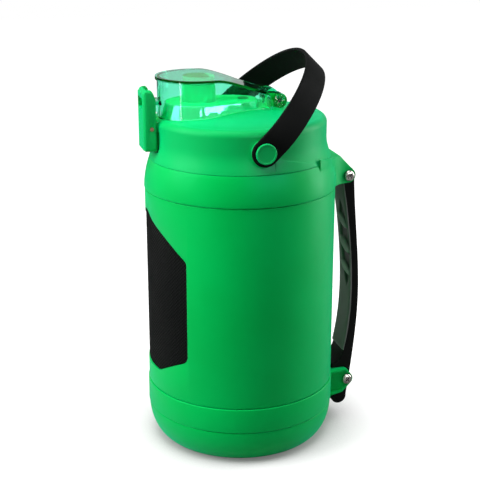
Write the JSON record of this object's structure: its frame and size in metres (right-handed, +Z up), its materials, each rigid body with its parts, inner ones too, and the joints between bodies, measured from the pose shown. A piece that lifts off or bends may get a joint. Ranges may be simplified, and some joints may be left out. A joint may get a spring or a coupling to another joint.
{
  "type": "insulated drinking jug",
  "caption": "Insulated drinking jug: rigid foam-filled body with grip pad, side handle, screw-on lid with spout under a clear hinged cover, front latch and pivoting carrying strap.",
  "frame": {"origin": "centre of the foot ring's underside, on the axis of the round body", "axes": "+Z up along the body's axis; -Y towards the latch and the grip pad; +Y towards the side handle; the carrying strap pivots on X"},
  "size_m": [0.1512, 0.1748, 0.3136],
  "materials": {
    "body_green": "satin moulded plastic",
    "base_green": "satin moulded plastic",
    "band_green": "satin moulded plastic",
    "collar_green": "satin moulded plastic",
    "lid_green": "satin moulded plastic",
    "liner_plastic": "smooth food-grade plastic",
    "plug_plastic": "smooth food-grade plastic",
    "insulation_foam": "open-cell foam",
    "gasket_silicone": "soft translucent silicone",
    "grip_rubber": "knurled soft rubber",
    "handle_black": "satin moulded plastic",
    "handle_pad_rubber": "soft rubber",
    "screw_steel": "plated steel",
    "spout_green": "satin moulded plastic",
    "seal_silicone": "soft silicone",
    "valve_rubber": "soft rubber",
    "cover_clear_green": "clear tinted plastic",
    "hinge_pin_steel": "polished steel pin",
    "latch_green": "satin moulded plastic",
    "latch_pin_brass": "dull brass pin",
    "spring_steel": "drawn spring wire",
    "strap_black": "satin flexible plastic",
    "rivet_green": "satin moulded plastic"
  },
  "bodies": {
    "jug": {"outer_shell": "body_green", "collar": "collar_green", "base_band": "band_green", "base_cup": "base_green", "inner_liner": "liner_plastic", "foam_insulation": "insulation_foam", "grip_pad": "grip_rubber", "side_handle": "handle_black", "handle_pad": "handle_pad_rubber", "upper_handle_screws": "screw_steel", "lower_handle_screws": "screw_steel"},
    "lid_ring": {"lid_gasket": "gasket_silicone"},
    "lid": {"lid_shell": "lid_green", "lid_plug": "plug_plastic", "lid_foam": "insulation_foam", "spout": "spout_green", "vent_valve": "valve_rubber", "latch_pin": "latch_pin_brass", "strap_rivet_right": "rivet_green", "strap_rivet_left": "rivet_green"},
    "cover": {"flip_cover": "cover_clear_green", "spout_seal": "seal_silicone", "cover_hinge_pin": "hinge_pin_steel"},
    "latch": {"latch_lever": "latch_green", "latch_spring": "spring_steel"},
    "strap": {"bail_strap": "strap_black"}
  },
  "joints": [
    {"name": "lid_lift", "type": "slide", "parent": "jug", "child": "lid_ring", "axis": [0, 0, 1], "range_m": [0, 0.0075]},
    {"name": "lid_turn", "type": "hinge", "parent": "lid_ring", "child": "lid", "pos_m": [0, 0, 0.2], "axis": [0, 0, 1], "range_deg": [0, 450]},
    {"name": "strap_swing", "type": "hinge", "parent": "lid", "child": "strap", "pos_m": [0, 0, 0.2495], "axis": [-1, 0, 0], "range_deg": [-80, 45]},
    {"name": "cover_flip", "type": "hinge", "parent": "lid", "child": "cover", "pos_m": [0, 0.027, 0.277], "axis": [-1, 0, 0], "range_deg": [0, 85]},
    {"name": "latch_swing", "type": "hinge", "parent": "lid", "child": "latch", "pos_m": [0, -0.0716, 0.2588], "axis": [1, 0, 0], "range_deg": [0, 20], "stiffness_Nm_per_rad": 0.06}
  ],
  "couplings": [
    {"joint": "lid_lift", "follows": "lid_turn", "m_per_rad": 0.00095493}
  ]
}
